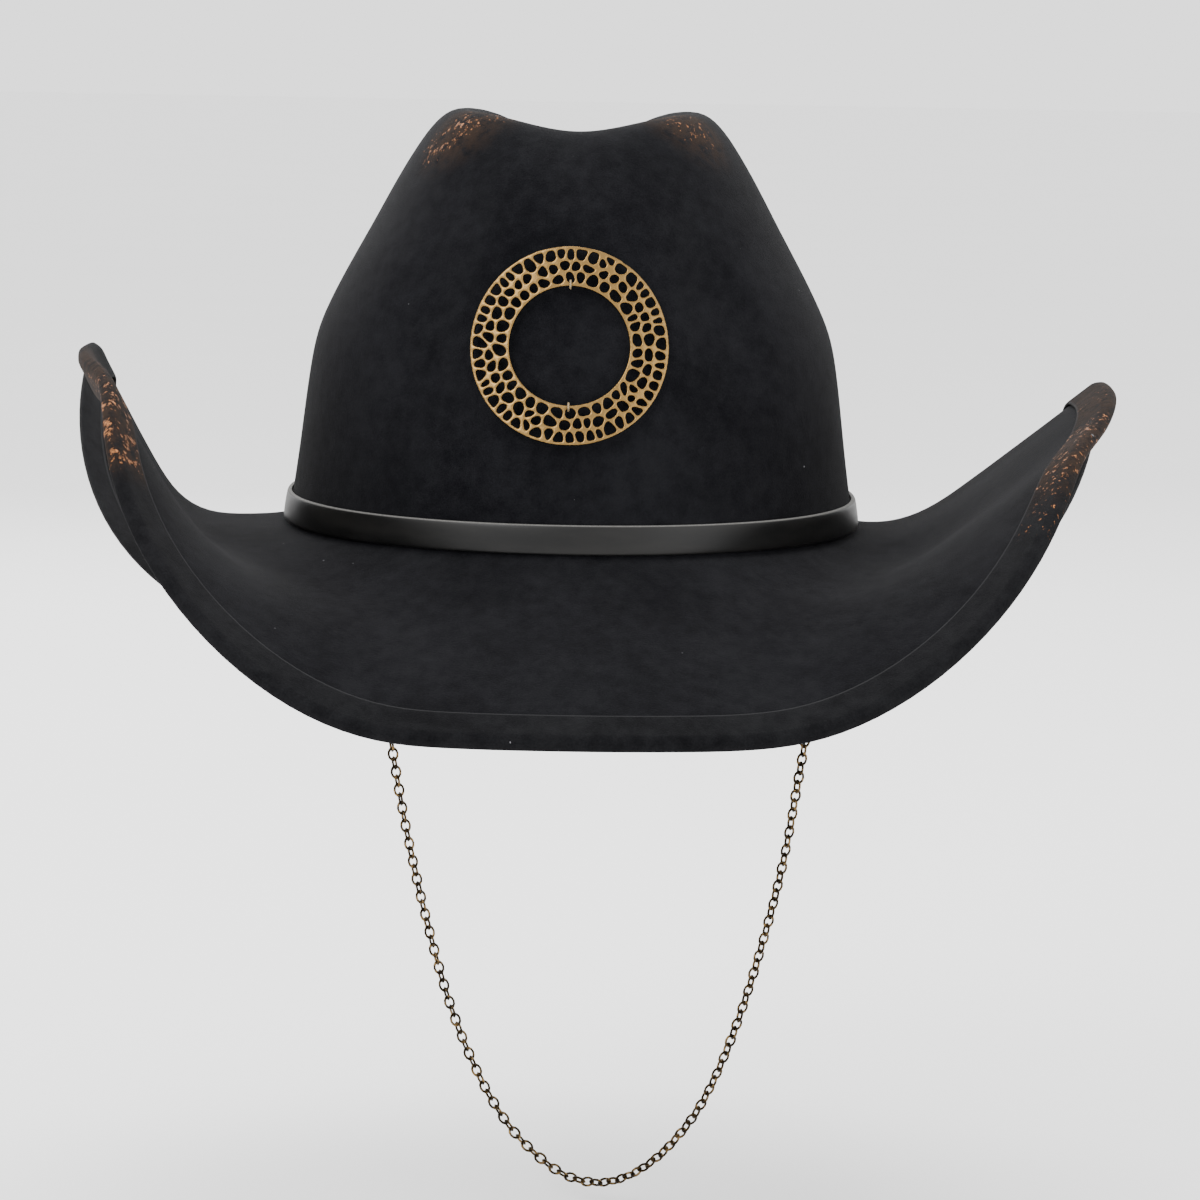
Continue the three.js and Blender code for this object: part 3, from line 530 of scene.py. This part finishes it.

# %% [markdown]
# ## The pierced ring
#
# The ring is cast brass, pierced all over like a slice of sponge, with rounded openings between thin walls.
# The measured ring has square rims, so a copy is remeshed in small even faces and smoothed, which rounds the
# walls as a casting's are. A bevel would fold over itself where two openings lie close. The fronts of the
# walls are painted bright, partly as rubbed metal and partly as a painted highlight, and the sides and openings
# stay dark, partly as the film of age and partly as painted shade. So each point keeps how far forward it lies
# for the finish to read.

# %% Cast brass
def cast_brass():
    finish = Finish("cast_antique_brass")
    front = finish.add("Attribute", {"attribute_name": "forward"}, out="Fac")
    patches = finish.noise(6 * MM, 3.0, 0.6)
    grain = finish.noise(0.4 * MM, 3.0, 0.6)
    # Painted highlight and shade: the fronts of the walls, which face the camera, turn to bright metal, partly
    # as rubbed wear, and the sides stay dark film, partly as painted shade.
    rubbed_and_highlit = finish.step(front + 0.3 * patches - 0.15, 0.84, 1.02)
    film, metal = (0.010, 0.006, 0.0025, 1), (0.20, 0.122, 0.043, 1)
    return finish.surface(
        base_color=finish.mix(rubbed_and_highlit, film, metal), metallic=1.0,
        roughness=0.46 - 0.16 * rubbed_and_highlit + 0.1 * grain, normal=finish.bump(grain, 0.03 * MM, 0.6))


# %% Round the walls
RING_THICK = 1.3 * MM
RING_BEND = 80 * MM
RING_VOXEL = 0.24 * MM
RING_SOFTENING = 14
SOFTENING_SHARE = 0.5


def mark_forward(piece):
    """Keeps how far forward each point lies on the bent ring: 0 at its back and 1 at its front."""
    corners = [v.co.copy() for v in piece.data.vertices]
    middle = sum(corners, Vector()) / len(corners)
    low, high = min(corners, key=lambda c: c.z), max(corners, key=lambda c: c.z)
    forward = ACROSS.cross((high - low).normalized())
    heights = []
    for corner in corners:
        away = corner - middle
        heights.append(away.dot(forward) + away.x ** 2 / (2 * RING_BEND))
    back = min(heights)
    lift = piece.data.attributes.new("forward", "FLOAT", "POINT")
    for datum, height in zip(lift.data, heights):
        datum.value = (height - back) / RING_THICK


def pierced_ring():
    ring = finer("ring_ornament", "pierced_ring", "hat", cast_brass(), levels=0)
    apply_modifier(ring, "REMESH", mode="VOXEL", voxel_size=RING_VOXEL)
    apply_modifier(ring, "SMOOTH", factor=SOFTENING_SHARE, iterations=RING_SOFTENING)
    mark_forward(ring)
    take(ring)
    bpy.ops.object.shade_smooth()
    print("rounded ring", len(ring.data.polygons), "faces")


pierced_ring()

# %% [markdown]
# ## Thread
#
# Two loops of waxed thread hold the ring over its inner rim, at the top and the bottom. A twisted thread
# shows fine slanting ridges, which a wave pattern gives.

# %% Thread loops
def waxed_thread():
    finish = Finish("waxed_thread")
    ridges = finish.add("TexWave", {"bands_direction": "DIAGONAL"}, {"Vector": finish.place, "Scale": 900})
    fuzz = finish.noise(0.3 * MM, 3.0)
    colour = finish.mix(ridges * 0.6 + fuzz * 0.4, (0.07, 0.048, 0.022, 1), (0.36, 0.26, 0.13, 1))
    return finish.surface(base_color=colour, roughness=0.55 + 0.2 * fuzz,
                          normal=finish.bump(ridges, 0.06 * MM, 0.8))


thread = waxed_thread()
for place in ("top", "bottom"):
    finer(f"ring_stitch_{place}", f"thread_loop_{place}", "hat", thread)

# %% [markdown]
# ## Inside the hat
#
# A leather sweatband lines the foot of the crown, with a thin reed along its lower edge and a ribbon bow
# over its seam at the back. It is plain smooth leather, dull from wear, with the grain's fine pores.

# %% Sweatband leather
def plain_leather(name, dark, light, roughness):
    finish = Finish(name)
    pores = finish.noise(0.45 * MM, 4.0, 0.7)
    folds = finish.noise(6 * MM, 4.0, 0.6)
    colour = finish.mix(finish.step(0.5 * folds + 0.5 * pores, 0.35, 0.65), dark, light)
    return finish.surface(base_color=colour, roughness=roughness + 0.15 * folds,
                          normal=finish.bump(0.7 * pores + 0.3 * folds, 0.12 * MM, 0.5))


sweat_leather = plain_leather("sweatband_leather", (0.014, 0.012, 0.011, 1), (0.034, 0.029, 0.025, 1), 0.5)
finer("sweatband", "sweatband_strip", "hat", sweat_leather, corner=0.2 * MM)

# %% Reed
def smooth_plastic():
    finish = Finish("reed_plastic")
    haze = finish.noise(2.5 * MM, 3.0)
    colour = finish.mix(haze, (0.008, 0.008, 0.009, 1), (0.018, 0.018, 0.019, 1))
    return finish.surface(base_color=colour, roughness=0.28 + 0.15 * haze,
                          normal=finish.bump(haze, 0.03 * MM, 0.4))


finer("sweatband_reed", "edge_reed", "hat", smooth_plastic())

# %% Ribbon bow
def ribbed_ribbon():
    finish = Finish("grosgrain_ribbon")
    ribs = finish.add("TexWave", {"bands_direction": "Z"}, {"Vector": finish.place, "Scale": 380})
    weave = finish.noise(0.3 * MM, 3.0)
    colour = finish.mix(0.6 * ribs + 0.4 * weave, (0.006, 0.006, 0.007, 1), (0.022, 0.022, 0.024, 1))
    return finish.surface(base_color=colour, roughness=0.5 + 0.2 * weave,
                          normal=finish.bump(ribs + 0.3 * weave, 0.12 * MM, 0.7))


finer("sweatband_bow", "ribbon_bow", "hat", ribbed_ribbon(), corner=0.3 * MM)

# %% [markdown]
# ## The chain's hangers
#
# On each side a folded leather tab is sewn inside the sweatband. A D ring hangs in its fold, and a small
# round ring joins the D ring to the chain. The D rings and round rings are bent wire with the chain's finish.

# %% Tabs and rings
tab_leather = plain_leather("tab_leather", (0.009, 0.009, 0.009, 1), (0.024, 0.022, 0.020, 1), 0.45)
for side in ("left", "right"):
    finer(f"chain_tab_{side}", f"leather_tab_{side}", "hat", tab_leather,
          corner=0.22 * MM, levels=1)
    finer(f"chain_ring_{side}", f"d_ring_{side}", f"{side}_ring_body", chain_metal)
    finer(f"jump_ring_{side}", f"round_ring_{side}", "chain_swing_body", chain_metal)

# %% [markdown]
# ## The wire in the fold
#
# The wire that holds the brim's shape is inside the bound edge, where it is hardly seen. It keeps its
# measured shape and gets a plain steel finish with fine drawing lines.

# %% Steel wire
def drawn_steel():
    finish = Finish("drawn_steel")
    lines = finish.noise(0.3 * MM, 2.0, 0.5, finish.stretched(0.1, 0.1, 1))
    colour = finish.mix(lines, (0.42, 0.43, 0.44, 1), (0.62, 0.62, 0.62, 1))
    return finish.surface(base_color=colour, metallic=1.0, roughness=0.3 + 0.2 * lines,
                          normal=finish.bump(lines, 0.02 * MM, 0.5))


dress(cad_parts["brim_wire"], drawn_steel())

# %% [markdown]
# ## Floor and light
#
# The hat is shown over a wide pale floor under large soft lights: a strong one high on the left, a weaker one
# on the right, one above and behind for the rims, and an even pale sky.

# %% Floor
FLOOR_DROP = 6 * MM
FLOOR_SIZE = 60
FLOOR_TONES = (0.93, 0.93, 0.93, 1), (0.97, 0.97, 0.97, 1)
FLOOR_PATCH = 0.4
drop_all()
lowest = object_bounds()[0][2]
bpy.ops.mesh.primitive_plane_add(size=FLOOR_SIZE, location=(0, 0, lowest - FLOOR_DROP))
floor = bpy.context.object
floor.name = "floor"
floor_paint = Finish("pale_floor")
floor_tone = floor_paint.noise(FLOOR_PATCH, 3.0)
dress(floor, floor_paint.surface(base_color=floor_paint.mix(floor_tone, *FLOOR_TONES), roughness=0.8))

# %% Lights
SKY_STRENGTH = 1.9
LIGHTS = [
    ("key_light", (-1.1, -1.5, 1.3), 1.2, 46),
    ("fill_light", (1.4, -1.2, 0.5), 1.4, 14),
    ("top_light", (0.1, 0.5, 1.8), 1.3, 26),
    ("back_light", (-0.5, 1.7, 0.9), 1.3, 14),
]
for name, spot, size, power in LIGHTS:
    light = bpy.data.lights.new(name, "AREA")
    light.size = size
    light.energy = power
    holder = bpy.data.objects.new(name, light)
    holder.location = spot
    holder.rotation_euler = (-Vector(spot)).to_track_quat("-Z", "Y").to_euler()
    bpy.context.scene.collection.objects.link(holder)

sky = bpy.data.worlds.new("pale_sky")
bpy.context.scene.world = sky
sky.use_nodes = True
sky.node_tree.nodes["Background"].inputs["Color"].default_value = (1, 1, 1, 1)
sky.node_tree.nodes["Background"].inputs["Strength"].default_value = SKY_STRENGTH
